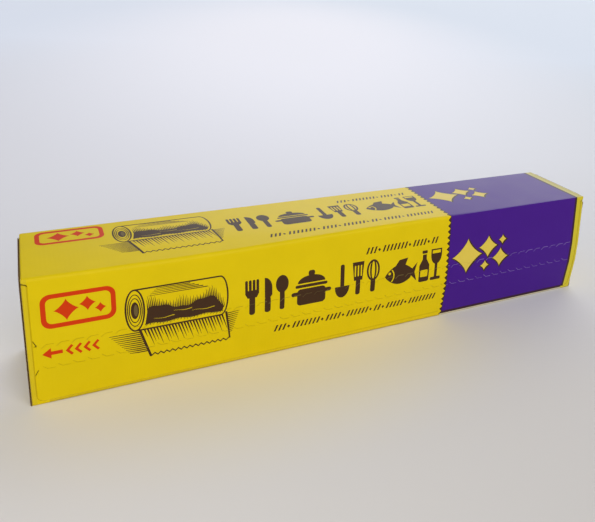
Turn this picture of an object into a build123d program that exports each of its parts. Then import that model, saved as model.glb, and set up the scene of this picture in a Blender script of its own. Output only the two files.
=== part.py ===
"""A sealed catering carton of foil: corrugated board folded round a roll, with a zip strip along its front.

The carton is closed and can't be seen into, so it is one solid. Its length lies along X, its front faces -Y,
and it stands on the XY plane with the origin under its middle. Sizes are in millimetres.
"""
import os
from math import radians, tan

from build123d import *

# Outside of the carton, from fold to fold
carton_length = 465.0
carton_depth = 72.0
carton_height = 92.0

# Corrugated board: two liners and the flutes between them
board_thickness = 1.1
liner_thickness = 0.25
flute_pitch = 2.9
flute_mouth_base = 2.0
flute_mouth_tip = 0.6
flute_web = 0.15
flute_mouth_depth = 2.5

# Rounding of the folds
lid_fold_radius = 3.0
hinge_fold_radius = 2.0
base_fold_radius = 1.5
end_fold_radius = 1.2

# Front panel, which stands out between the two lines of the zip strip
front_bulge = 3.0
zip_top_height = 47.4
zip_bottom_height = 29.9

# Cuts of the zip strip: a straight run with a hook at its starting end
cut_pitch = 8.9
cut_run = 4.8
cut_hook_run = 2.6
cut_hook_drop = 2.2
cut_width = 0.4

# Tilt of the zip strip in degrees, which lifts its right end
zip_tilt = 0.5

# Crease that frames the front panel at both ends and along its foot
margin_width = 4.3
crease_width = 0.8
crease_depth = 0.35
crease_corner_radius = 5.5
crease_foot_height = 2.2

# Slot in each margin that parts the lid's end flap from the front panel's
slot_drop = 3.2
slot_height = 1.0
slot_depth = 1.5

# Pull tab at the left end of the zip strip: two slits that spread from the rows of cuts to the crease
tab_slit_run = 2.4
tab_slit_rise = 4.0
tab_slit_width = 0.5
tab_gape = 1.1

# Outer end flaps, hinged on the base and glued over the inner ones
flap_setback = 0.7
flap_corner = 6.0
flap_fold_radius = 1.0

# Glued lap along the base, where the back panel ends over the base panel's turned-up edge
lap_gap_width = 0.5
lap_gap_depth = 1.2

# Places that follow from the sizes above
half_length = carton_length / 2
body_half_length = half_length - board_thickness
back_y = (carton_depth + front_bulge) / 2
fold_y = back_y - carton_depth
bulge_y = fold_y - front_bulge
crease_x = half_length - margin_width
slot_top_height = carton_height - slot_drop
flap_top_height = carton_height - flap_setback


def carton_section(inset=0.0):
    """The outline across the carton's length, moved in all round by an inset."""
    with BuildSketch() as section:
        with BuildLine():
            Polyline(
                (back_y, 0),
                (back_y, carton_height),
                (fold_y, carton_height),
                (bulge_y, zip_top_height),
                (bulge_y, zip_bottom_height),
                (fold_y, 0),
                close=True,
            )
        make_face()
        lid_corner, hinge_corner = section.vertices().group_by(Axis.Y)[-1].sort_by(Axis.X)
        base_corner = section.vertices().group_by(Axis.Y)[0].sort_by(Axis.X)[0]
        fillet(lid_corner, lid_fold_radius)
        fillet(hinge_corner, hinge_fold_radius)
        fillet(base_corner, base_fold_radius)
        if inset > 0:
            offset(amount=-inset, kind=Kind.INTERSECTION)
    return section.sketch


def front_cutter(outlines, depth):
    """A tool that cuts outlines drawn on XZ into the front panel, to an even depth under its bent face."""
    with BuildPart() as cutter:
        with BuildSketch(Plane.XZ):
            add(outlines)
        extrude(amount=carton_depth)
        with BuildSketch(Plane.YZ):
            add(carton_section(depth))
        extrude(amount=carton_length, both=True, mode=Mode.SUBTRACT)
    return cutter.part


def stroke(points, width):
    """A narrow outline along a bent line."""
    with BuildSketch() as line_face:
        with BuildLine():
            Polyline(*points)
        trace(line_width=width)
    return line_face.sketch


def zip_cuts():
    """Both rows of hooked cuts, with the hooks of each row turned into the strip."""
    count = int((2 * crease_x - 2 * tab_slit_run) // cut_pitch)
    with BuildSketch() as cuts:
        for height, into_strip in ((zip_top_height, -1), (zip_bottom_height, 1)):
            hook_tip = (-cut_run / 2 - cut_hook_run, into_strip * cut_hook_drop)
            cut = stroke([hook_tip, (-cut_run / 2, 0), (cut_run / 2, 0)], cut_width)
            with Locations(Location((0, height, 0), (0, 0, zip_tilt))):
                with GridLocations(cut_pitch, 1, count, 1):
                    add(cut)
    return cuts.sketch


def tab_cuts():
    """The slits above and below the pull tab. The upper one gapes, where the tab stands a little proud."""
    inner_x = -crease_x + tab_slit_run
    tilt_drop = -inner_x * tan(radians(zip_tilt))
    tab_top = zip_top_height - tilt_drop
    tab_bottom = zip_bottom_height - tilt_drop
    with BuildSketch() as cuts:
        for height, rise in ((tab_top, tab_slit_rise), (tab_bottom, -tab_slit_rise)):
            add(stroke([(-crease_x, height + rise), (inner_x, height)], tab_slit_width))
        with BuildLine():
            Polyline(
                (-crease_x, tab_top),
                (inner_x, tab_top - tab_gape / 2),
                (inner_x, tab_top + tab_gape / 2),
                close=True,
            )
        make_face()
    return cuts.sketch


def panel_crease():
    """The crease that runs down one margin, along the foot of the front panel and up the other margin."""
    with BuildSketch() as crease:
        with BuildLine():
            FilletPolyline(
                (-crease_x, slot_top_height),
                (-crease_x, crease_foot_height),
                (crease_x, crease_foot_height),
                (crease_x, slot_top_height),
                radius=crease_corner_radius,
            )
        trace(line_width=crease_width)
    return crease.sketch


def margin_slots():
    """The slot across each margin, just under the lid's fold."""
    with BuildSketch() as slots:
        for side in (-1, 1):
            with Locations((side * (half_length - margin_width / 2), slot_top_height - slot_height / 2)):
                Rectangle(margin_width, slot_height)
    return slots.sketch


def end_flap():
    """An outer end flap: a straight-cut panel with its two upper corners taken off."""
    with BuildSketch() as flap:
        with BuildLine():
            Polyline(
                (fold_y + flap_setback, 0),
                (fold_y + flap_setback, flap_top_height),
                (back_y - flap_setback, flap_top_height),
                (back_y - flap_setback, 0),
                close=True,
            )
        make_face()
        chamfer(flap.vertices().group_by(Axis.Y)[-1], flap_corner)
    return flap.sketch


def flute_mouths():
    """The open flutes along a cut board edge: one row against each liner, half a pitch apart."""
    mouth_height = (board_thickness - 2 * liner_thickness) - flute_web
    run = flap_top_height - 2 * flap_corner
    count = int(run // flute_pitch)
    with BuildSketch() as mouths:
        for side in (-1, 1):
            liner_face = side * (board_thickness / 2 - liner_thickness)
            with BuildSketch(mode=Mode.PRIVATE) as mouth:
                with BuildLine():
                    Polyline(
                        (liner_face, -flute_mouth_base / 2),
                        (liner_face, flute_mouth_base / 2),
                        (liner_face - side * mouth_height, flute_mouth_tip / 2),
                        (liner_face - side * mouth_height, -flute_mouth_tip / 2),
                        close=True,
                    )
                make_face()
            with Locations((0, flap_top_height / 2 + side * flute_pitch / 4)):
                with GridLocations(1, flute_pitch, 1, count):
                    add(mouth.sketch)
    return mouths.sketch


# The carton: body, end flaps, then everything that is cut or creased into the board
with BuildPart() as foil_carton:
    with BuildSketch(Plane.YZ):
        add(carton_section())
    extrude(amount=body_half_length, both=True)
    end_folds = foil_carton.faces().filter_by(Axis.X).edges().filter_by_position(
        Axis.Z, end_fold_radius, carton_height
    )
    fillet(end_folds, end_fold_radius)

    for side in (-1, 1):
        with BuildSketch(Plane.YZ.offset(side * body_half_length)):
            add(end_flap())
        extrude(amount=side * board_thickness)
    flap_edges = foil_carton.edges().filter_by(Axis.Y).group_by(Axis.X)
    flap_folds = [flap_edges[0].sort_by(Axis.Z)[0], flap_edges[-1].sort_by(Axis.Z)[0]]
    fillet(flap_folds, flap_fold_radius)

    for side in (-1, 1):
        for face_y, way_in in ((fold_y + flap_setback, 1), (back_y - flap_setback, -1)):
            edge_plane = Plane(
                origin=(side * (half_length - board_thickness / 2), face_y, 0),
                x_dir=(1, 0, 0),
                z_dir=(0, -1, 0),
            )
            with BuildSketch(edge_plane):
                add(flute_mouths())
            extrude(amount=-way_in * flute_mouth_depth, mode=Mode.SUBTRACT)

    with Locations((0, back_y - board_thickness - lap_gap_width / 2, lap_gap_depth / 2)):
        Box(2 * body_half_length, lap_gap_width, lap_gap_depth, mode=Mode.SUBTRACT)

    add(front_cutter(panel_crease(), crease_depth), mode=Mode.SUBTRACT)
    add(front_cutter(margin_slots(), slot_depth), mode=Mode.SUBTRACT)
    add(front_cutter(tab_cuts(), board_thickness), mode=Mode.SUBTRACT)
    add(front_cutter(zip_cuts(), board_thickness), mode=Mode.SUBTRACT)

foil_carton.part.label = "foil_carton"

os.makedirs("parts", exist_ok=True)
export_step(foil_carton.part, "parts/foil_carton.step")
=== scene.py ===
import bisect
import math
import random

import bmesh
import bpy
from mathutils import Matrix, Vector
from mathutils.geometry import delaunay_2d_cdt


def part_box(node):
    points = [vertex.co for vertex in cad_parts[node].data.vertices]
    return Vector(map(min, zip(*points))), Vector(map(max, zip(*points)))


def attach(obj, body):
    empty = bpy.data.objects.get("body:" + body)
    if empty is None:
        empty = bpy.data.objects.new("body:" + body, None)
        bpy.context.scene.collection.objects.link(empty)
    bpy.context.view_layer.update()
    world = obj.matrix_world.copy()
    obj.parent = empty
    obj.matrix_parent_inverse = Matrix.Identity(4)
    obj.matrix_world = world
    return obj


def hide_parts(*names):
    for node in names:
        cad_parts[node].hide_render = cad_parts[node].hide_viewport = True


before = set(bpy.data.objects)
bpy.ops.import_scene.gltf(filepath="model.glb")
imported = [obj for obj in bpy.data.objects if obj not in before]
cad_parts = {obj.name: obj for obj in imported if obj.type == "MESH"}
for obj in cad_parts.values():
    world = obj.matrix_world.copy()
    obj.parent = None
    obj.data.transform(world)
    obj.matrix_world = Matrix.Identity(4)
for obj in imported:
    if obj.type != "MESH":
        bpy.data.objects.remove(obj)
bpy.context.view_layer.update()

# The carton is printed flat, cut, creased and then folded, as a real one is. Lengths here are millimetres.
MM = 0.001
low, high = (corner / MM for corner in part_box("foil_carton"))
half_length = high.x
back_y = high.y
bulge_y = low.y
carton_height = high.z

# Board and folds, as the solid has them
board_thickness = 1.1
liner_thickness = 0.25
flute_pitch = 2.9
front_bulge = 3.0
fold_y = bulge_y + front_bulge
body_half_length = half_length - board_thickness
lid_fold_radius = 3.0
hinge_fold_radius = 2.0
base_fold_radius = 1.5
end_fold_radius = 1.2
zip_top_height = 47.4
zip_bottom_height = 29.9

# Finer forms of the board, which the solid has in a plainer way
medium_thickness = 0.12
flute_trim = 0.15
flute_start = 0.8
flute_clearance = 1.0
flute_steps = 12
lap_fold_radius = 0.6
end_tuck = 0.5
zip_bend_radius = 60.0

# Cuts, creases and the lap: the solid's, but with finer cuts, a wider gape and slots with a bent end
cut_pitch = 8.9
cut_run = 4.8
cut_hook_run = 2.6
cut_hook_drop = 2.2
cut_width = 0.12
cut_depth = board_thickness
zip_tilt = math.radians(0.5)
margin_width = 4.3
crease_x = half_length - margin_width
crease_width = 0.8
crease_depth = 0.35
crease_corner_radius = 5.5
crease_foot_height = 2.2
crease_top_gap = 0.3
slot_height = 1.0
slot_depth = 1.5
slot_bend = 1.6
slot_drop = 3.2
slot_top_height = carton_height - slot_drop
tab_slit_run = 2.4
tab_slit_rise = 4.0
tab_slit_width = 0.5
tab_gape = 1.4
gape_inset = 0.6
gape_lean = 0.3
lap_gap_width = 0.5
lap_gap_depth = 1.2
lap_gap_inset = 0.3

# End flaps, as the solid has them
flap_setback = 0.7
flap_corner = 6.0
flap_fold_radius = 1.0

# How the board has settled: the lid's front fold sags a little left of the middle
lid_sag = 1.8
lid_sag_x = -120.0
lid_sag_spread = 95.0
lid_sag_reach = 16.0
lid_sag_start = 0.75

# How crisp the lid's front fold is along the carton: 0 keeps its full radius and 1 is a sharp corner
fold_crispness = ((-232.0, 0.45), (-170.0, 0.0), (60.0, 0.0), (100.0, 0.8), (232.0, 0.9))

# Spacing, tolerances and shading of the mesh
grid_step = 6.0
fold_steps = 6
end_fold_steps = 4
triangles_inside_outlines = 1
cut_tolerance = 1e-4
merge_distance = 0.001
mitre_limit = 0.5
sharp_angle = 38.0

# Layout of the print: places of its pictures and rules
badge_place = (-199.5, 67.6)
picture_place = (-138.5, 49.0)
arrow_place = (-205.5, 38.6)
row_baseline = 38.0
upper_rule = (7.5, 78.0, 70.5)
lower_rule = (-67.0, 78.0, 19.5)
sparkles_place = (119.0, 54.0)
lid_picture_scale = 0.924
lid_picture_shift = -6.3
lid_row_scale = 0.865
lid_row_shift = -7.4

# Layout of the print: the purple field and the margins
zigzag_x = 84.1
zigzag_depth = 2.6
zigzag_pitch = 5.1
zigzag_edge = 0.4
purple_end_x = 223.4
purple_foot = 1.7
outline_width = 2.4
corner_step = 2.6
margin_lap = 1.0

# Painted shade along the foot: the strip under the front's crease and the crease's line. Bands along the
# lid's crease and the cuts: paler scuffed ink on purple and brown, painted shade on yellow and the margins
foot_shade_height = 1.7
crease_shade_path = ((-221.0, 2.1), (-110.0, 2.5), (zigzag_x - 2.0, 4.8))
crease_shade_width = 1.4
lid_crease_before = 0.6
lid_crease_past = 0.4
lid_crease_inset = 1.5
rub_least = 0.15
rub_most = 0.70
rub_most_on_purple = 0.35
scuffed_and_shaded = random.Random(11)

# Finish of the board, in metres: uneven ink, fine grain and the faint ridges of the flutes
cloud_scale = 38
grain_scale = 900
tone_spread = 0.07
less_rough = 0.06
more_rough = 0.08
ridge_strength = 0.05
ridge_rise = 0.0002
grain_strength = 0.12
grain_rise = 0.0001

# Factor by which the wave texture multiplies its scale
wave_factor = 20

# Colours of the inks and the board, as linear red, green and blue
INKS = {
    "yellow": (0.618, 0.461, 0.0012),
    "purple": (0.049, 0.008, 0.195),
    "margin": (0.520, 0.430, 0.026),
    "left_margin": (0.566, 0.428, 0.009),
    "lid_margin": (0.450, 0.380, 0.075),
    "bare": (0.500, 0.450, 0.290),
    # Painted shade along the foot of the yellow front: the strip under its crease, and the crease's line
    # above it
    "foot": (0.480, 0.357, 0.006),
    "foot_crease_shade": (0.535, 0.394, 0.002),
    "overprint": (0.040, 0.014, 0.026),
    "brown": (0.046, 0.022, 0.010),
    "red": (0.530, 0.035, 0.002),
    "pale": (0.605, 0.462, 0.068),
    # Kinds of ink along the cuts and creases: the purple and brown ones are paler, scuffed ink; the yellow
    # and margin ones are darker, painted shade of the cut or crease
    "yellow_rubbed": (0.540, 0.397, 0.002),
    "margin_rubbed": (0.400, 0.310, 0.012),
    "left_margin_rubbed": (0.500, 0.370, 0.007),
    "lid_margin_rubbed": (0.300, 0.265, 0.035),
    "purple_rubbed": (0.220, 0.150, 0.400),
    "brown_rubbed": (0.120, 0.085, 0.030),
    "board": (0.200, 0.130, 0.055),
    "cut": (0.160, 0.105, 0.030),
}

# Colours of the floor, from near to far on either side, which paint the fall of light, darker on the right,
# and turn bluer far off; and of the spots of painted light round the carton
FLOOR_LEFT = ((0.0, (0.735, 0.695, 0.640)), (0.12, (0.705, 0.680, 0.655)), (0.20, (0.565, 0.560, 0.575)),
              (0.42, (0.590, 0.595, 0.640)), (1.0, (0.715, 0.760, 0.865)))
FLOOR_RIGHT = ((0.0, (0.545, 0.515, 0.475)), (0.12, (0.550, 0.520, 0.480)), (0.20, (0.540, 0.530, 0.520)),
               (0.42, (0.620, 0.635, 0.675)), (1.0, (0.680, 0.735, 0.835)))
# Painted light: a pool of light on the floor behind the carton
FLOOR_LIGHT_POOL = (0.845, 0.845, 0.920)
# Painted light: a warm glow before the carton, light bounced from its front
FLOOR_BOUNCE_GLOW = (0.800, 0.720, 0.500)
# Painted light: a lighter, cooler patch by the carton's left end, over the shade that falls there
FLOOR_LIT_PATCH = (0.745, 0.735, 0.790)

# Floor, in metres: its size and its spots of painted light, each with the share of its reach that has its
# full colour
floor_radius = 30.0
floor_sides = 96
pool_middle, pool_reach, pool_core = (0.60, 1.60), (1, 2.6), 0.15
pool_turn = -22.2
bounce_middle, bounce_reach, bounce_core = (-0.060, -0.035), (0.25, 0.13), 0.0
lit_patch_middle, lit_patch_reach, lit_patch_core = (-0.245, 0.002), (0.065, 0.050), 0.2

# Where the floor's colours run, counted from the middle of the painted pool of light in units of its reach
floor_near, floor_far = -0.777, -0.070
floor_left_end, floor_right_end = -0.22, 0.28

# The soft light from the front
key_from = (-0.10, -1.0, 0.62)
key_strength = 2.62
key_spread = 85.0
key_colour = (1.0, 0.98, 0.95)

# The surround, and the window in it behind the carton on the right
surround_colour = (0.95, 0.97, 1.0)
surround_strength = 0.30
surround_seen = 0.9
window_from = (0.62, 0.68, 0.38)
window_strength = 2.6
window_edge, window_core = 0.72, 0.99

# Camera, found from the carton's corners and edges in the photograph
photo_width, photo_height = 595, 522
axis_px = Vector((342.0, 150.0))
focal_px = 651.99
sensor_width = 36.0
camera_place = Vector((-218.95, -435.63, 293.03))
camera_azimuth = math.radians(-26.631)
camera_elevation = math.radians(16.890)
camera_roll = math.radians(3.275)


# Outline of the carton across its length

def rounded_corner(before, corner, after, radius, steps):
    """Points round a corner of an outline, each with its facing and its place on a sharp corner."""
    to_before = (before - corner).normalized()
    to_after = (after - corner).normalized()
    half_angle = to_before.angle(to_after) / 2
    centre = corner + (to_before + to_after).normalized() * (radius / math.sin(half_angle))
    start = corner + to_before * (radius / math.tan(half_angle))
    end = corner + to_after * (radius / math.tan(half_angle))
    points = []
    for step in range(steps + 1):
        share = step / steps
        facing = (start - centre).normalized().slerp((end - centre).normalized(), share)
        sharp = start.lerp(corner, share * 2) if share < 0.5 else corner.lerp(end, share * 2 - 1)
        points.append((centre + facing * radius, facing, sharp))
    return points


def carton_outline():
    """Points round the carton, from under its middle up the front, over the lid and down the back."""
    folds = [
        ((fold_y, 0), base_fold_radius),
        ((bulge_y, zip_bottom_height), zip_bend_radius),
        ((bulge_y, zip_top_height), zip_bend_radius),
        ((fold_y, carton_height), lid_fold_radius),
        ((back_y, carton_height), hinge_fold_radius),
        ((back_y, 0), lap_fold_radius),
    ]
    corners = [Vector(point) for point, _ in folds]
    middle = (Vector((0, 0)), Vector((0, -1)), Vector((0, 0)))
    stations = [middle]
    for index, (_, radius) in enumerate(folds):
        following = corners[(index + 1) % len(corners)]
        stations += rounded_corner(corners[index - 1], corners[index], following, radius, fold_steps)
    return stations + [middle]


stations = carton_outline()
girth = [0.0]
for station, following in zip(stations, stations[1:]):
    girth.append(girth[-1] + (following[0] - station[0]).length)
full_girth = girth[-1]


def fold_middle(fold):
    """Distance round the carton to the middle of a fold, where fold 0 is the base's front fold."""
    return girth[1 + fold * (fold_steps + 1) + fold_steps // 2]


front_foot = fold_middle(0)
lid_front = fold_middle(3)
lid_back = fold_middle(4)
back_foot = fold_middle(5)


def between(x, pairs):
    """A value at a place, from pairs of places and values."""
    for (x0, value0), (x1, value1) in zip(pairs, pairs[1:]):
        if x <= x1:
            break
    share = min(1.0, max(0.0, (x - x0) / (x1 - x0)))
    return value0 + (value1 - value0) * share


def walk(x, distance):
    """The point at a distance round the carton, and the direction that it faces, in Y and Z."""
    index = min(max(bisect.bisect_right(girth, distance) - 1, 0), len(girth) - 2)
    share = (distance - girth[index]) / (girth[index + 1] - girth[index])
    before, after = stations[index], stations[index + 1]
    point = before[0].lerp(after[0], share)
    if abs(distance - lid_front) < 2 * lid_fold_radius:
        point = point.lerp(before[2].lerp(after[2], share), between(x, fold_crispness))
    return point, before[1].lerp(after[1], share).normalized()


# Folding the blank

flat_half_length = body_half_length - end_fold_radius
end_fold_run = end_fold_radius * math.pi / 2
blank_half_length = flat_half_length + end_fold_run + end_tuck


def settled(point):
    """A point moved to where the board has settled."""
    along = math.exp(-((point.x - lid_sag_x) / lid_sag_spread) ** 2)
    near_fold = math.exp(-((point.y - fold_y) / lid_sag_reach) ** 2)
    high_up = max(0, (point.z / carton_height - lid_sag_start) / (1 - lid_sag_start))
    return point + Vector((0, 0, -lid_sag * along * (near_fold * high_up)))


def folded(x, distance):
    """Where a point of the flat blank lies once the blank is folded."""
    point, facing = walk(x, distance)
    past = abs(x) - flat_half_length
    reach = abs(x)
    sink = 0.0
    if past > 0:
        turn = min(past / end_fold_radius, math.pi / 2)
        on_wall = min(1.0, 1.0 + facing.y)
        straight = flat_half_length + end_fold_radius * past / (end_fold_run + end_tuck)
        bent = flat_half_length + end_fold_radius * math.sin(turn)
        reach = straight + (bent - straight) * on_wall
        sink = on_wall * (end_fold_radius * (1 - math.cos(turn)) + max(0.0, past - end_fold_run))
    across = point - facing * sink
    return settled(Vector((math.copysign(reach, x), across.x, across.y)))


# Drawing: an outline is a list of points, x along the carton and y up the panel

def ellipse(x, y, x_radius, y_radius, start=0.0, end=360.0, steps=36):
    """Points round an ellipse, or along a stretch of one."""
    count = steps if abs(end - start) >= 360 else steps + 1
    angles = [math.radians(start + (end - start) * step / steps) for step in range(count)]
    return [(x + x_radius * math.cos(a), y + y_radius * math.sin(a)) for a in angles]


def upright_box(x0, y0, x1, y1):
    """A plain box."""
    return [(x0, y0), (x1, y0), (x1, y1), (x0, y1)]


def rounded_box(x0, y0, x1, y1, radius):
    """A box with round corners."""
    corners = ((x1, y0, 270), (x1, y1, 0), (x0, y1, 90), (x0, y0, 180))
    points = []
    for x, y, start in corners:
        middle_x = x - radius if x == x1 else x + radius
        middle_y = y - radius if y == y1 else y + radius
        points += ellipse(middle_x, middle_y, radius, radius, start, start + 90, 6)
    return points


def band(points, width, end_width=None):
    """A band along a bent line, which may taper to another width."""
    widths = [width + ((width if end_width is None else end_width) - width) * i / (len(points) - 1)
              for i in range(len(points))]
    left = []
    right = []
    for i, point in enumerate(points):
        here = Vector(point)
        steps = [(Vector(points[j + 1]) - Vector(points[j])).normalized()
                 for j in (i - 1, i) if 0 <= j < len(points) - 1]
        along = sum(steps, Vector((0, 0))).normalized()
        side = Vector((-along.y, along.x)) * (widths[i] / 2 / max(mitre_limit, along.dot(steps[0])))
        left.append(tuple(here + side))
        right.append(tuple(here - side))
    return right + left[::-1]


def ring(x, y, x_radius, y_radius, width, ink, ground, steps=36):
    """A ring, drawn as a disc of ink with a disc of the ground's ink on it."""
    return [(ink, ellipse(x, y, x_radius, y_radius, steps=steps)),
            (ground, ellipse(x, y, x_radius - width, y_radius - width, steps=steps))]


def star(x, y, radius):
    """A four-pointed sparkle with hollow sides."""
    angles = [math.radians(step * 10) for step in range(36)]
    return [(x + radius * math.copysign(abs(math.cos(a)) ** 2.6, math.cos(a)),
             y + radius * math.copysign(abs(math.sin(a)) ** 2.6, math.sin(a))) for a in angles]


def moved(drawing, x, y, x_scale=1.0, y_scale=1.0):
    """A drawing moved to a place, and stretched."""
    return [(ink, [(x + px * x_scale, y + py * y_scale) for px, py in outline]) for ink, outline in drawing]


# The pictures of the print, each drawn about its own origin on the baseline

def fork():
    tines = [("brown", rounded_box(x - 1.0, 17, x + 1.0, 27.5, 0.9)) for x in (-4.2, -1.4, 1.4, 4.2)]
    head = [(-5.2, 19.5), (-5.2, 17), (-3.4, 13.6), (3.4, 13.6), (5.2, 17), (5.2, 19.5)]
    return [("brown", rounded_box(-2.2, 0, 2.2, 15, 1.9)), ("brown", head)] + tines


def knife():
    blade = [(-2.3, 12), (2.3, 12), (3.5, 13.6)] + ellipse(-2.3, 19, 5.8, 8.5, 0, 90, 8)
    return [("brown", rounded_box(-2.3, 0, 2.3, 12.6, 1.8)), ("brown", blade)]


def spoon():
    return [("brown", rounded_box(-1.9, 0, 1.9, 17, 1.6)), ("brown", ellipse(0, 20.6, 5.0, 6.9, steps=28))]


def ladle():
    bowl = [(-6.2, 9.6), (6.2, 9.6)] + ellipse(0, 9.6, 6.2, 9.6, -6, -174, 18)
    return [("brown", rounded_box(-1.7, 8.5, 1.7, 27.5, 1.5)), ("brown", bowl)]


def turner():
    slots = [("yellow", rounded_box(x - 0.6, 15.5, x + 0.6, 24.6, 0.5)) for x in (-2.6, 0, 2.6)]
    blade = [(-3.6, 12.2), (3.6, 12.2), (5.1, 27.5), (-5.1, 27.5)]
    return [("brown", rounded_box(-2.0, 0, 2.0, 13, 1.7)), ("brown", blade)] + slots


def whisk():
    outer = ring(0, 18.6, 5.8, 8.9, 1.6, "brown", "yellow", 30)
    inner = ring(0, 18.6, 2.9, 8.9, 1.5, "brown", "yellow", 30)
    return outer + inner + [("brown", rounded_box(-2.1, 0, 2.1, 11.6, 1.7))]


def bottle():
    shoulder = [(-4.8, 14.5), (4.8, 14.5), (1.9, 20), (-1.9, 20)]
    return [
        ("brown", rounded_box(-4.8, 0, 4.8, 16, 1.6)),
        ("brown", shoulder),
        ("brown", rounded_box(-1.9, 18, 1.9, 24, 0.6)),
        ("brown", rounded_box(-2.5, 24.8, 2.5, 27.5, 0.8)),
        ("yellow", rounded_box(-3.5, 4.4, 3.5, 10.6, 0.9)),
    ]


def goblet():
    bowl = [(-5.2, 27.5), (5.2, 27.5)] + ellipse(0, 22.5, 5.2, 8.4, 0, -180, 20)
    return [
        ("brown", bowl),
        ("brown", rounded_box(-1.3, 1.5, 1.3, 15.5, 0.6)),
        ("brown", rounded_box(-5.0, 0, 5.0, 2.8, 1.2)),
        ("yellow", [(-3.9, 26.3), (3.9, 26.3), (3.9, 23.6), (-3.9, 23.6)]),
    ]


def pot():
    """A cooking pot with its lid on."""
    return [
        ("brown", rounded_box(-11.6, 0, 11.6, 13.4, 3.0)),
        ("brown", rounded_box(-16.2, 8.2, 16.2, 11.4, 1.5)),
        ("brown", rounded_box(-13.0, 14.4, 13.0, 16.8, 1.1)),
        ("brown", [(-11.2, 17.8), (11.2, 17.8)] + ellipse(0, 17.8, 11.2, 6.0, 6, 174, 18)),
        ("brown", rounded_box(-2.6, 23.0, 2.6, 27.5, 1.7)),
    ]


def fish():
    """A whole fish, facing left."""
    steps = [-13 + 26 * k / 13 for k in range(14)]
    back = [(x, 10.4 + 8.8 * math.sin(math.pi * (x + 13) / 28) ** 0.8) for x in steps]
    belly = [(x, 10.4 - 8.2 * math.sin(math.pi * (x + 13) / 28) ** 0.8) for x in steps[-2:0:-1]]
    return [
        ("brown", [(9, 10.4), (17, 2.2), (14.6, 10.4), (17, 18.6)]),
        ("brown", [(-5, 16), (5, 16), (8.0, 24.0), (0, 23.0)]),
        ("brown", back + belly),
        ("yellow", ellipse(-8.6, 12.6, 1.2, 1.2, steps=14)),
        ("yellow", band(ellipse(-10.6, 10.4, 6.0, 6.8, -48, 48, 10), 1.0)),
    ]


def foil_picture():
    """An engraving of a roll of foil with its sheet drawn out."""
    left, right, axis, radius = -27.0, 31.0, 9.0, 15.5
    drawing = []
    # Shadow on the table
    for step in range(11):
        y = -7.0 - step * 1.55
        shift = step * 1.4
        left_stroke = [(-44 + shift * 0.9, y), (-26, y - 0.5), (-10 + shift, y - 0.9)]
        right_stroke = [(44.5 - step * 0.5, y + 2), (37, y + 1.4), (26, y + 0.9)]
        drawing.append(("brown", band(left_stroke, 0.4, 1.25)))
        drawing.append(("brown", band(right_stroke, 0.35, 1.2)))
    # The sheet, cut off along teeth
    teeth = [(-17 + k * 2.0, -27.2 + (1.9 if k % 2 else 0.0)) for k in range(28)]
    rim = [(-18.3, -28.4)] + [(x, y - 1.2) for x, y in teeth] + [(38.3, -26.4)]
    drawing.append(("brown", rim + [(35.6, -4), (-25.8, -4)]))
    drawing.append(("yellow", teeth + [(34, -4), (-24, -4)]))
    for k in range(27):
        x = -22 + k * 2.05
        length = 8.0 + 7.5 * abs(math.sin(k * 1.9))
        line = [(x, -4.2), (x + length * 0.16, -4.2 - length * 0.5), (x + length * 0.32, -4.2 - length)]
        drawing.append(("brown", band(line, 1.5, 0.14)))
    # The roll: bright along the top, dark below, with hatching that follows its turns
    for ink, inset in (("brown", 0.0), ("yellow", 1.2)):
        far_end = ellipse(right, axis, 5.8 - inset, radius - inset, -90, 90, 20)
        near_end = ellipse(left, axis, 6.6 - inset, radius - inset, 90, 270, 20)
        drawing.append((ink, far_end + near_end))

    def on_roll(x, height):
        """A point at a height above the roll's axis, on the turn that starts at a place along the roll."""
        return x + 5.8 * math.sqrt(1 - (height / radius) ** 2), axis + height

    count = 47
    turns = [left + 2.4 + k * 1.15 for k in range(count)]
    feet = [-11.6 + 0.5 * math.sin(k * 0.4) for k in range(count)]
    tops = [-0.8 + 1.9 * math.sin(k * 0.21 + 0.4) + 0.5 * math.sin(k * 0.71) - 7.0 * max(0, k - 40) / 6
            for k in range(count)]
    shade = [on_roll(x, foot) for x, foot in zip(turns, feet)]
    drawing.append(("brown", shade + [on_roll(x, top) for x, top in zip(turns, tops)][::-1]))
    for k, (x, foot, top) in enumerate(zip(turns, feet, tops)):
        reach = 4.4 + 2.4 * math.sin(k * 0.33 + 1.0) + 1.6 * (k % 2)
        upper = [on_roll(x, top + reach * share) for share in (-0.2, 0.3, 0.65, 1.0)]
        lower = [on_roll(x, foot + 0.6), on_roll(x, foot - 0.5 - k % 2)]
        drawing.append(("brown", band(upper, 0.95, 0.12)))
        drawing.append(("brown", band(lower, 0.85, 0.12)))
    for first, last, height in ((4, 17, -8.4), (15, 27, -5.2), (26, 41, -7.4)):
        streak = [on_roll(turns[k], height + 0.4 * math.sin(k * 0.5)) for k in range(first, last)]
        drawing.append(("yellow", band(streak, 0.1, 0.45)))
    for k in range(5):
        y = axis + 8.8 + k * 1.2
        hatch = [(left + 9 + k * 1.3, y), (4 - k * 2.5, y + 0.1), (right - 9 - k * 3, y)]
        drawing.append(("brown", band(hatch, 0.3, 0.7)))
    # The end of the roll, with its turns and core
    for x_radius, y_radius, width in ((6.6, 15.5, 1.2), (5.0, 11.7, 0.7), (3.9, 9.0, 0.7)):
        drawing += ring(left, axis, x_radius, y_radius, width, "brown", "yellow", 32)
    drawing.append(("brown", ellipse(left, axis, 2.7, 6.1, steps=28)))
    drawing.append(("brown_rubbed", ellipse(left + 0.6, axis, 1.3, 4.2, steps=24)))
    return drawing


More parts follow.
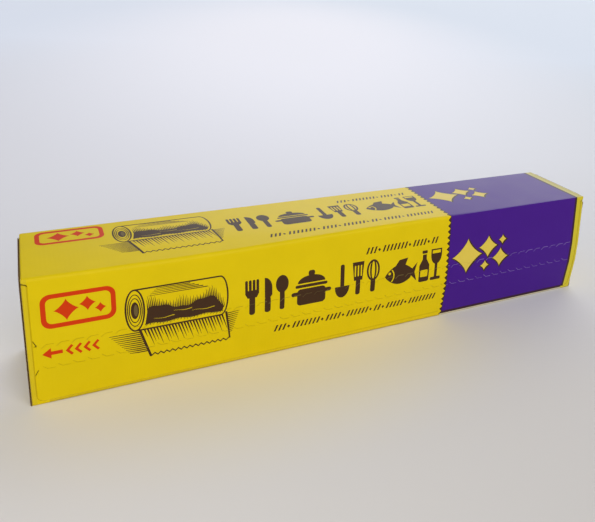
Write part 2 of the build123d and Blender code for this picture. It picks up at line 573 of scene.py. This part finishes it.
def badge():
    """A red frame with sparkles in it."""
    return [
        ("red", rounded_box(-22.5, -11.8, 22.5, 11.8, 6.0)),
        ("yellow", rounded_box(-19.4, -8.7, 19.4, 8.7, 3.6)),
        ("red", star(-7.5, -0.2, 7.6)),
        ("red", star(5.2, 1.8, 5.2)),
        ("red", star(12.9, -2.6, 3.6)),
    ]


def pull_arrow():
    """A red arrow towards the pull tab, with chevrons behind it."""
    arrow = [(-17.5, 0), (-12.2, -3.9), (-12.2, -1.3), (-5.4, -1.3),
             (-5.4, 1.3), (-12.2, 1.3), (-12.2, 3.9)]
    chevrons = [[(x + 3.0, 3.4), (x, 0), (x + 3.0, -3.4)] for x in (-2.6, 2.7, 8.0, 13.3)]
    return [("red", arrow)] + [("red", band(chevron, 1.7)) for chevron in chevrons]


def stroke_rule(start, end):
    """A fine rule of slanted strokes in uneven groups, with a diamond between the groups."""
    stroke_pitch, diamond_pitch, last_room = 3.3, 4.6, 4.4
    strokes = []
    groups = (3, 7, 4, 6, 2, 5, 8)
    left_in_group, group = groups[0], 0
    x = start
    while x + last_room < end:
        if left_in_group == 0:
            strokes.append(("brown", [(x + 0.6, 2.4), (x + 1.8, 0.9), (x + 3.0, 2.4), (x + 1.8, 3.9)]))
            group += 1
            left_in_group = groups[group % len(groups)]
            x += diamond_pitch
        else:
            strokes.append(("brown", [(x, 0), (x + 1.5, 0), (x + 3.4, 5.4), (x + 1.9, 5.4)]))
            left_in_group -= 1
            x += stroke_pitch
    return strokes


def sparkles():
    """Pale sparkles with a dark edge, in a loose group."""
    places = ((-14.5, 0.0, 15.2), (7.0, 5.4, 9.6), (20.6, -6.2, 8.4), (4.6, -11.6, 4.4), (22.0, 9.8, 4.0))
    drawing = [("brown", star(x + 0.5, y - 0.4, r + 1.9)) for x, y, r in places]
    return drawing + [("pale", star(x, y, r)) for x, y, r in places]


def picture_print():
    """The badge and the picture at the left of a panel."""
    return moved(badge(), *badge_place) + moved(foil_picture(), *picture_place)


def row_print():
    """The row of kitchen things, the fine rules above and below it and the sparkles on the purple."""
    things = (
        (fork, -84.4), (knife, -72.6), (spoon, -61.4), (pot, -38.0), (ladle, -12.4),
        (turner, 1.2), (whisk, 14.4), (fish, 38.0), (bottle, 61.8), (goblet, 73.2),
    )
    drawing = []
    for thing, x in things:
        drawing += moved(thing(), x, row_baseline)
    for start, end, height in (upper_rule, lower_rule):
        drawing += moved(stroke_rule(start, end), 0, height)
    return drawing + moved(sparkles(), *sparkles_place)


def fields():
    """The purple field with its dark edges and a row of teeth on its left, round to the back's foot."""
    start = front_foot + purple_foot
    end = back_foot - purple_foot
    right = purple_end_x
    teeth = []
    count = int((end - start) / zigzag_pitch)
    step = (end - start) / count
    for k in range(count):
        teeth.append((zigzag_x - zigzag_depth / 2, start + k * step))
        teeth.append((zigzag_x + zigzag_depth / 2, start + (k + 0.5) * step))
    teeth.append((zigzag_x - zigzag_depth / 2, end))
    dark = teeth + [(right, end), (right, start)]
    left = zigzag_x + zigzag_depth / 2 + zigzag_edge
    overprint = upright_box(left, start, right, end)
    purple = upright_box(left, start + outline_width, right - outline_width, end - outline_width)
    return [("brown", dark), ("overprint", overprint), ("purple", purple)]


# Cuts and the crease of the front panel

def row_height(height, x):
    """Height of a row of the zip strip's cuts at a place along the carton."""
    return height + x * math.tan(zip_tilt)


def front_cuts():
    """The zip strip's cuts and the tab's slits, as lines on the front panel with their widths."""
    cuts = []
    count = int((2 * crease_x - 2 * tab_slit_run) // cut_pitch)
    for height, into_strip in ((zip_top_height, -1), (zip_bottom_height, 1)):
        for k in range(count):
            x = (k - (count - 1) / 2) * cut_pitch
            row = row_height(height, x)
            line = [(x - cut_run / 2 - cut_hook_run, row + into_strip * cut_hook_drop),
                    (x - cut_run / 2, row), (x + cut_run / 2, row)]
            cuts.append((line, cut_width))
    inner_x = -crease_x + tab_slit_run
    for height, rise in ((zip_top_height, tab_slit_rise), (zip_bottom_height, -tab_slit_rise)):
        row = row_height(height, inner_x)
        line = [(-crease_x + crease_width / 2, row + rise), (inner_x, row)]
        cuts.append((line, tab_slit_width))
    return cuts


def crease_line():
    """The line of the crease: down one margin, along the foot and up the other margin."""
    radius = crease_corner_radius
    inner_x = crease_x - radius
    inner_z = crease_foot_height + radius
    top = slot_top_height - slot_height - crease_top_gap
    left = [(-crease_x, top)] + ellipse(-inner_x, inner_z, radius, radius, 180, 270, 8)
    return left + ellipse(inner_x, inner_z, radius, radius, 270, 360, 8) + [(crease_x, top)]


def sunk(x, height, crease):
    """How deep the crease is at a point of the front panel."""
    far_along = abs(abs(x) - crease_x) > crease_corner_radius + crease_width
    if far_along and abs(height - front_foot - crease_foot_height) > crease_width:
        return 0.0
    here = Vector((x, height))
    nearest = crease_width
    for start, end in zip(crease, crease[1:]):
        a, b = Vector(start), Vector(end)
        share = min(1, max(0, (here - a).dot(b - a) / (b - a).length_squared))
        nearest = min(nearest, (here - a.lerp(b, share)).length)
    return crease_depth * max(0.0, 1 - (nearest / (crease_width / 2)) ** 2)


# The blank, cut into triangles along everything that is printed, cut or creased on it

def spaced(start, end, step):
    """Even places from start to end, no further apart than a step."""
    count = max(1, math.ceil((end - start) / step))
    return [start + (end - start) * k / count for k in range(count + 1)]


def signed_area(outline):
    """Twice the area of an outline, below zero where it runs clockwise."""
    return sum(a[0] * b[1] - b[0] * a[1] for a, b in zip(outline, outline[1:] + outline[:1]))


def blank_columns():
    """Where the mesh's columns stand along the carton."""
    fold = [flat_half_length + end_fold_run * k / end_fold_steps for k in range(1, end_fold_steps + 1)]
    fold.append(blank_half_length)
    inner = spaced(-flat_half_length, flat_half_length, grid_step)
    return [-x for x in reversed(fold)] + inner + fold


def blank_rows():
    """Where the mesh's rows lie round the carton."""
    rows = [0.0]
    for start, end in zip(girth, girth[1:]):
        rows += spaced(start, end, grid_step)[1:]
    return rows


class Blank:
    """Everything that goes into the triangulation of the flat blank."""

    def __init__(self):
        self.points = []
        self.edges = []
        self.faces = []
        self.inks = []
        self.ways_in = []

    def add_outline(self, ink, outline, way_in=None):
        if signed_area(outline) < 0:
            outline = outline[::-1]
        first = len(self.points)
        self.points += [Vector(p) for p in outline]
        self.faces.append(list(range(first, first + len(outline))))
        self.inks.append(ink)
        self.ways_in.append(way_in)

    def add_line(self, line):
        first = len(self.points)
        self.points += [Vector(p) for p in line]
        self.edges += [(first + k, first + k + 1) for k in range(len(line) - 1)]


def on_front(line):
    """A line drawn by heights up the front panel, at its place on the blank."""
    return [(x, front_foot + height) for x, height in line]


def printed_blank():
    """The blank with its print, creases and cuts drawn on it."""
    blank = Blank()
    columns, rows = blank_columns(), blank_rows()
    edge = blank_half_length
    blank.add_outline("yellow", upright_box(-edge, 0, edge, full_girth))
    for row in rows:
        if row in girth:
            blank.add_line([(x, row) for x in columns])
        else:
            blank.points += [Vector((x, row)) for x in columns]
    margin_start = purple_end_x - margin_lap
    blank.add_outline("left_margin", upright_box(-edge, front_foot, -crease_x, lid_front))
    blank.add_outline("margin", upright_box(margin_start, front_foot, edge, lid_front))
    blank.add_outline("lid_margin", upright_box(margin_start, lid_front, edge, lid_back))
    foot = front_foot - base_fold_radius
    corner_x = purple_end_x - corner_step
    # Painted shade: a darker line where the front's crease runs above the foot, rising towards the purple
    blank.add_outline("foot_crease_shade", band(on_front(crease_shade_path), crease_shade_width))
    # Painted shade on the strip of the yellow front under its crease, along the foot
    blank.add_outline("foot", upright_box(crease_shade_path[0][0], foot, zigzag_x, front_foot + foot_shade_height))
    blank.add_outline("bare", upright_box(zigzag_x, foot, corner_x, front_foot + purple_foot))
    for ink, outline in fields():
        blank.add_outline(ink, outline)
    blank.add_outline("margin", upright_box(corner_x, foot, purple_end_x, front_foot + corner_step))
    front = picture_print() + row_print() + moved(pull_arrow(), *arrow_place)
    lid = moved(picture_print(), 0, lid_front + lid_picture_shift, 1.0, lid_picture_scale)
    lid += moved(row_print(), 0, lid_front + lid_row_shift, 1.0, lid_row_scale)
    for ink, outline in moved(front, 0, front_foot) + lid:
        blank.add_outline(ink, outline)
    crease = on_front(crease_line())
    blank.add_line(crease)
    # Bands along the crease in the darker kinds of ink: painted shade of the crease
    sides = band(crease, crease_width)
    lower, upper = sides[:len(crease)], sides[len(crease):][::-1]
    middle = len(crease) // 2
    blank.add_outline("rub", lower[:middle] + upper[:middle][::-1])
    blank.add_outline("rub", lower[middle:] + upper[middle:][::-1])
    blank.add_line(lower)
    blank.add_line(upper)
    # A band along the lid's crease in a darker kind of ink: painted shade of the crease
    lid_crease = (crease_x - lid_crease_before, crease_x + lid_crease_past)
    lid_ends = (lid_front + lid_crease_inset, lid_back - lid_crease_inset)
    blank.add_outline("rub", upright_box(lid_crease[0], lid_ends[0], lid_crease[1], lid_ends[1]))
    # Along each cut a band: paler scuffed ink on the purple and the brown, darker painted shade of the cut
    # on the yellow
    for line, width in front_cuts():
        most = rub_most_on_purple if line[0][0] > zigzag_x else rub_most
        blank.add_outline("rub", band(on_front(line), width + scuffed_and_shaded.uniform(rub_least, most)))
        blank.add_outline("cut", band(on_front(line), width), (0, cut_depth, 0))
    inner = -crease_x + tab_slit_run
    tab_top = row_height(zip_top_height, inner)
    gape = [(-crease_x + gape_inset, tab_top), (inner, tab_top - tab_gape / 2),
            (inner + gape_lean, tab_top + tab_gape / 2)]
    blank.add_outline("cut", on_front(gape), (0, cut_depth, 0))
    for side in (-1, 1):
        height = slot_top_height - slot_height / 2
        start = (side * (flat_half_length + end_fold_run), height)
        turn_x = side * (crease_x + slot_bend)
        turn = ellipse(turn_x, height - slot_bend, slot_bend, slot_bend, 90, 90 + side * 90, 6)
        slot = band(on_front([start] + turn), slot_height, slot_height / 2)
        blank.add_outline("cut", slot, (0, slot_depth, 0))
    lap = full_girth - (back_y - board_thickness - lap_gap_width / 2)
    end = blank_half_length - lap_gap_inset
    gap = upright_box(-end, lap - lap_gap_width / 2, end, lap + lap_gap_width / 2)
    blank.add_outline("cut", gap, (0, 0, lap_gap_depth))
    return blank, crease


def ink_of(blank, cover):
    """The ink that shows on a triangle that outlines cover, and the way in if it is cut."""
    top = max(cover)
    if blank.inks[top] == "cut":
        return "cut", blank.ways_in[top]
    ink = next(blank.inks[k] for k in sorted(cover, reverse=True) if blank.inks[k] not in ("rub", "cut"))
    # Under a band along a cut or crease the ink turns to its other kind: paler scuffed ink, darker painted
    # shade on the yellow and the margins
    if blank.inks[top] == "rub" and ink + "_rubbed" in INKS:
        ink += "_rubbed"
    return ink, None


def carton_mesh(slots):
    """The folded, printed carton as one closed mesh."""
    blank, crease = printed_blank()
    points, _, triangles, _, _, covers = delaunay_2d_cdt(
        blank.points, blank.edges, blank.faces, triangles_inside_outlines, cut_tolerance
    )
    bm = bmesh.new()
    corners = []
    for x, distance in points:
        place = folded(x, distance)
        depth = sunk(x, distance, crease) if front_foot < distance < lid_front else 0.0
        corners.append(bm.verts.new((place + Vector((0, depth, 0))) * MM))
    cut_faces = {}
    for triangle, cover in zip(triangles, covers):
        ink, way_in = ink_of(blank, cover)
        face = bm.faces.new([corners[k] for k in triangle])
        face.material_index = slots.index(ink)
        if ink == "cut":
            cut_faces.setdefault(way_in, []).append(face)
    for way_in, faces in cut_faces.items():
        made = bmesh.ops.extrude_face_region(bm, geom=faces)["geom"]
        inner = [item for item in made if isinstance(item, bmesh.types.BMVert)]
        bmesh.ops.translate(bm, verts=inner, vec=Vector(way_in) * MM)
        bmesh.ops.delete(bm, geom=faces, context="FACES")
    bmesh.ops.remove_doubles(bm, verts=bm.verts[:], dist=merge_distance * MM)
    rims = [edge for edge in bm.edges if edge.is_boundary]
    bmesh.ops.holes_fill(bm, edges=rims)
    mesh = bpy.data.meshes.new("printed_carton")
    bm.to_mesh(mesh)
    bm.free()
    return mesh


# Materials

def mixed(nodes, links, factor, first, second):
    """A mix of two colours, each a plain colour or another node's output."""
    mix = nodes.new("ShaderNodeMix")
    mix.data_type = "RGBA"
    links.new(factor, mix.inputs["Factor"])
    for name, colour in (("A", first), ("B", second)):
        if isinstance(colour, tuple):
            mix.inputs[name].default_value = (*colour, 1)
        else:
            links.new(colour, mix.inputs[name])
    return mix.outputs["Result"]


def ranged(nodes, links, value, start, end):
    """A share from 0 to 1 as a value goes from start to end, easing in and out."""
    share = nodes.new("ShaderNodeMapRange")
    share.interpolation_type = "SMOOTHSTEP"
    share.inputs["From Min"].default_value = start
    share.inputs["From Max"].default_value = end
    links.new(value, share.inputs["Value"])
    return share.outputs["Result"]


def printed_board(name, colour, roughness=0.34, specular=0.09):
    """Uneven ink under a thin varnish on corrugated board, with a fine grain and the flutes' ridges."""
    material = bpy.data.materials.new(name)
    material.use_nodes = True
    nodes, links = material.node_tree.nodes, material.node_tree.links
    shader = nodes["Principled BSDF"]
    shader.inputs["Specular IOR Level"].default_value = specular
    place = nodes.new("ShaderNodeTexCoord")

    clouds = nodes.new("ShaderNodeTexNoise")
    clouds.inputs["Scale"].default_value = cloud_scale
    clouds.inputs["Detail"].default_value = 5
    clouds.inputs["Roughness"].default_value = 0.62
    links.new(place.outputs["Object"], clouds.inputs["Vector"])
    tone = nodes.new("ShaderNodeMix")
    tone.data_type = "RGBA"
    tone.inputs["A"].default_value = (*[c * (1 - tone_spread) for c in colour], 1)
    tone.inputs["B"].default_value = (*[min(1, c * (1 + tone_spread)) for c in colour], 1)
    links.new(clouds.outputs["Fac"], tone.inputs["Factor"])
    links.new(tone.outputs["Result"], shader.inputs["Base Color"])

    grain = nodes.new("ShaderNodeTexNoise")
    grain.inputs["Scale"].default_value = grain_scale
    grain.inputs["Detail"].default_value = 3
    links.new(place.outputs["Object"], grain.inputs["Vector"])
    gloss = nodes.new("ShaderNodeMapRange")
    gloss.inputs["To Min"].default_value = roughness - less_rough
    gloss.inputs["To Max"].default_value = roughness + more_rough
    links.new(clouds.outputs["Fac"], gloss.inputs["Value"])
    links.new(gloss.outputs["Result"], shader.inputs["Roughness"])

    ridges = nodes.new("ShaderNodeTexWave")
    ridges.wave_type = "BANDS"
    ridges.bands_direction = "X"
    ridges.inputs["Scale"].default_value = 2 * math.pi / wave_factor / (flute_pitch * MM)
    ridges.inputs["Distortion"].default_value = 0.0
    links.new(place.outputs["Object"], ridges.inputs["Vector"])
    ridge_bump = nodes.new("ShaderNodeBump")
    ridge_bump.inputs["Strength"].default_value = ridge_strength
    ridge_bump.inputs["Distance"].default_value = ridge_rise
    links.new(ridges.outputs["Fac"], ridge_bump.inputs["Height"])
    grain_bump = nodes.new("ShaderNodeBump")
    grain_bump.inputs["Strength"].default_value = grain_strength
    grain_bump.inputs["Distance"].default_value = grain_rise
    links.new(grain.outputs["Fac"], grain_bump.inputs["Height"])
    links.new(ridge_bump.outputs["Normal"], grain_bump.inputs["Normal"])
    links.new(grain_bump.outputs["Normal"], shader.inputs["Normal"])
    return material


def bare_board(name, colour):
    """Raw board: matt, fibrous and uneven."""
    return printed_board(name, colour, roughness=0.85, specular=0.15)


materials = {ink: bare_board(ink, colour) if ink in ("board", "cut") else printed_board(ink, colour)
             for ink, colour in INKS.items()}


# The pieces

def add_piece(name, mesh, slots):
    """A piece of the carton, with its inks, shaded smooth over the folds and sharp at the cuts."""
    for ink in slots:
        mesh.materials.append(materials[ink])
    mesh.shade_smooth()
    mesh.set_sharp_from_angle(angle=math.radians(sharp_angle))
    piece = bpy.data.objects.new(name, mesh)
    bpy.context.scene.collection.objects.link(piece)
    weighted = piece.modifiers.new("flat_panels", "WEIGHTED_NORMAL")
    weighted.keep_sharp = True
    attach(piece, "root")
    return piece


def flap_reach(z):
    """Front and back edges of an end flap at a height, with its upper corners cut off."""
    top = carton_height - flap_setback
    cut = max(0.0, flap_corner - (top - z))
    return fold_y + flap_setback + cut, back_y - flap_setback - cut


def flap_sheet(bm, profile, thickness, trim, inks):
    """A sheet of a flap, from front to back, along a profile of reaches past the body and heights."""
    outer_ink, inner_ink, edge_ink = inks
    rings = []
    for k, (reach, z) in enumerate(profile):
        before, after = profile[max(0, k - 1)], profile[min(len(profile) - 1, k + 1)]
        along = Vector((after[0] - before[0], after[1] - before[1])).normalized()
        inward = Vector((-along.y, along.x)) * thickness
        front, back = flap_reach(z)
        inner = (reach + inward.x, z + inward.y)
        places = ((reach, front + trim, z), (reach, back - trim, z), (inner[0], back - trim, inner[1]),
                  (inner[0], front + trim, inner[1]))
        rings.append([bm.verts.new(Vector((body_half_length + x, y, z)) * MM) for x, y, z in places])
    for lower, upper in zip(rings, rings[1:]):
        for k, ink in enumerate((outer_ink, edge_ink, inner_ink, edge_ink)):
            face = bm.faces.new((lower[k], lower[(k + 1) % 4], upper[(k + 1) % 4], upper[k]))
            face.material_index = ink
    for end in (rings[0], rings[-1]):
        bm.faces.new(end).material_index = edge_ink


def flap_mesh(name, side, slots):
    """An outer end flap of true corrugated board: two liners and the fluted sheet between them."""
    bm = bmesh.new()
    top = carton_height - flap_setback
    printed, raw = slots.index("yellow"), slots.index("board")
    heights = spaced(flap_fold_radius, top - flap_corner, grid_step) + [top]
    bend = [(board_thickness - flap_fold_radius * (1 - math.sin(a)), flap_fold_radius * (1 - math.cos(a)))
            for a in (math.radians(90 * k / fold_steps) for k in range(fold_steps))]
    outer = [(0.0, 0.0)] + bend + [(board_thickness, z) for z in heights]
    flap_sheet(bm, outer, liner_thickness, 0.0, (printed, raw, raw))
    inner = [(liner_thickness, z) for z in spaced(liner_thickness, top - flap_corner, grid_step) + [top]]
    flap_sheet(bm, inner, liner_thickness, 0.0, (raw, raw, raw))
    gap = board_thickness - 2 * liner_thickness - medium_thickness
    middle = board_thickness / 2 + medium_thickness / 2
    run = top - flute_clearance
    steps = int(run / flute_pitch * flute_steps)
    wave = []
    for k in range(steps + 1):
        z = flute_start + run * k / steps
        wave.append((middle + gap / 2 * math.sin(2 * math.pi * z / flute_pitch), z))
    flap_sheet(bm, wave, medium_thickness, flute_trim, (raw, raw, raw))
    if side < 0:
        bmesh.ops.scale(bm, verts=bm.verts[:], vec=(-1, 1, 1))
    bmesh.ops.recalc_face_normals(bm, faces=bm.faces[:])
    mesh = bpy.data.meshes.new(name)
    bm.to_mesh(mesh)
    bm.free()
    return mesh


ink_slots = list(INKS)
carton = add_piece("printed_carton", carton_mesh(ink_slots), ink_slots)
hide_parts("foil_carton")
flap_slots = ["yellow", "board"]
for side, name in ((-1, "left_end_flap"), (1, "right_end_flap")):
    add_piece(name, flap_mesh(name, side, flap_slots), flap_slots)


# Floor, light and camera

def ramp(nodes, links, share, shades):
    """A ramp through colours, each with its place between 0 and 1."""
    node = nodes.new("ShaderNodeValToRGB")
    links.new(share, node.inputs["Fac"])
    while len(node.color_ramp.elements) < len(shades):
        node.color_ramp.elements.new(0.5)
    for element, (position, colour) in zip(node.color_ramp.elements, shades):
        element.position = position
        element.color = (*colour, 1)
    return node.outputs["Color"]


def floor_spot(nodes, links, middle, reach, turn=0.0):
    """Places on the floor, counted from a spot's middle in units of its reach, and their distances."""
    place = nodes.new("ShaderNodeTexCoord")
    spot = nodes.new("ShaderNodeMapping")
    spot.vector_type = "TEXTURE"
    spot.inputs["Location"].default_value = (*middle, 0)
    spot.inputs["Rotation"].default_value = (0, 0, math.radians(turn))
    spot.inputs["Scale"].default_value = (*reach, 1)
    links.new(place.outputs["Object"], spot.inputs["Vector"])
    distance = nodes.new("ShaderNodeVectorMath")
    distance.operation = "LENGTH"
    links.new(spot.outputs["Vector"], distance.inputs[0])
    return spot.outputs["Vector"], distance.outputs["Value"]


def floor_material():
    """A pale matt floor that cools away from the carton, its colour painting the fall of light darker on
    the right, with spots of painted light round it.
    """
    material = bpy.data.materials.new("floor")
    material.use_nodes = True
    nodes, links = material.node_tree.nodes, material.node_tree.links
    shader = nodes["Principled BSDF"]
    shader.inputs["Roughness"].default_value = 0.7
    shader.inputs["Specular IOR Level"].default_value = 0.1
    from_pool, pool_distance = floor_spot(nodes, links, pool_middle, pool_reach, pool_turn)
    axes = nodes.new("ShaderNodeSeparateXYZ")
    links.new(from_pool, axes.inputs["Vector"])
    depth = nodes.new("ShaderNodeMapRange")
    depth.inputs["From Min"].default_value = floor_near
    depth.inputs["From Max"].default_value = floor_far
    links.new(axes.outputs["Y"], depth.inputs["Value"])
    across = ranged(nodes, links, axes.outputs["X"], floor_left_end, floor_right_end)
    left = ramp(nodes, links, depth.outputs["Result"], FLOOR_LEFT)
    right = ramp(nodes, links, depth.outputs["Result"], FLOOR_RIGHT)
    tone = mixed(nodes, links, across, left, right)
    _, bounce_distance = floor_spot(nodes, links, bounce_middle, bounce_reach)
    _, lit_patch_distance = floor_spot(nodes, links, lit_patch_middle, lit_patch_reach)
    # Spots of painted light: a pool behind the carton, a warm bounce glow before it and a lighter patch by
    # its left end
    spots = (
        (pool_distance, pool_core, FLOOR_LIGHT_POOL),
        (bounce_distance, bounce_core, FLOOR_BOUNCE_GLOW),
        (lit_patch_distance, lit_patch_core, FLOOR_LIT_PATCH),
    )
    for distance, core, colour in spots:
        tone = mixed(nodes, links, ranged(nodes, links, distance, 1.0, core), tone, colour)
    links.new(tone, shader.inputs["Base Color"])
    return material


def add_floor():
    bm = bmesh.new()
    bmesh.ops.create_circle(bm, cap_ends=True, radius=floor_radius, segments=floor_sides)
    mesh = bpy.data.meshes.new("floor")
    bm.to_mesh(mesh)
    bm.free()
    mesh.materials.append(floor_material())
    floor = bpy.data.objects.new("floor", mesh)
    bpy.context.scene.collection.objects.link(floor)


def add_key():
    """A broad soft light from far off, before the carton."""
    light = bpy.data.lights.new("front_key", "SUN")
    light.energy = key_strength
    light.angle = math.radians(key_spread)
    light.color = key_colour
    lamp = bpy.data.objects.new("front_key", light)
    lamp.rotation_mode = "QUATERNION"
    lamp.rotation_quaternion = Vector(key_from).to_track_quat("Z", "Y")
    bpy.context.scene.collection.objects.link(lamp)


def add_world():
    """An even pale surround with a brighter patch behind the carton on the right, like a window."""
    world = bpy.data.worlds.new("studio")
    bpy.context.scene.world = world
    world.use_nodes = True
    nodes, links = world.node_tree.nodes, world.node_tree.links
    background = nodes["Background"]
    place = nodes.new("ShaderNodeTexCoord")
    facing = nodes.new("ShaderNodeVectorMath")
    facing.operation = "DOT_PRODUCT"
    facing.inputs[1].default_value = Vector(window_from).normalized()
    links.new(place.outputs["Generated"], facing.inputs[0])
    patch = nodes.new("ShaderNodeMapRange")
    patch.interpolation_type = "SMOOTHSTEP"
    patch.inputs["From Min"].default_value = window_edge
    patch.inputs["From Max"].default_value = window_core
    patch.inputs["To Min"].default_value = surround_strength
    patch.inputs["To Max"].default_value = window_strength
    links.new(facing.outputs["Value"], patch.inputs["Value"])
    light_path = nodes.new("ShaderNodeLightPath")
    seen = nodes.new("ShaderNodeMix")
    seen.inputs["B"].default_value = surround_seen
    links.new(light_path.outputs["Is Camera Ray"], seen.inputs["Factor"])
    links.new(patch.outputs["Result"], seen.inputs["A"])
    background.inputs["Color"].default_value = (*surround_colour, 1)
    links.new(seen.outputs["Result"], background.inputs["Strength"])


def add_camera():
    data = bpy.data.cameras.new("camera")
    data.sensor_width = sensor_width
    data.lens = sensor_width * focal_px / photo_width
    data.shift_x = (photo_width / 2 - axis_px.x) / photo_width
    data.shift_y = (axis_px.y - photo_height / 2) / photo_width
    camera = bpy.data.objects.new("camera", data)
    right = Vector((math.cos(camera_azimuth), math.sin(camera_azimuth), 0))
    back = Vector((math.sin(camera_azimuth) * math.cos(camera_elevation),
                   -math.cos(camera_azimuth) * math.cos(camera_elevation), math.sin(camera_elevation)))
    turn = Matrix((right, back.cross(right), back)).transposed()
    roll = Matrix.Rotation(camera_roll, 3, "Z")
    camera.matrix_world = Matrix.Translation(camera_place * MM) @ (turn @ roll).to_4x4()
    bpy.context.scene.collection.objects.link(camera)
    bpy.context.scene.camera = camera


add_floor()
add_world()
add_key()
add_camera()
bpy.context.scene.view_settings.view_transform = "Standard"
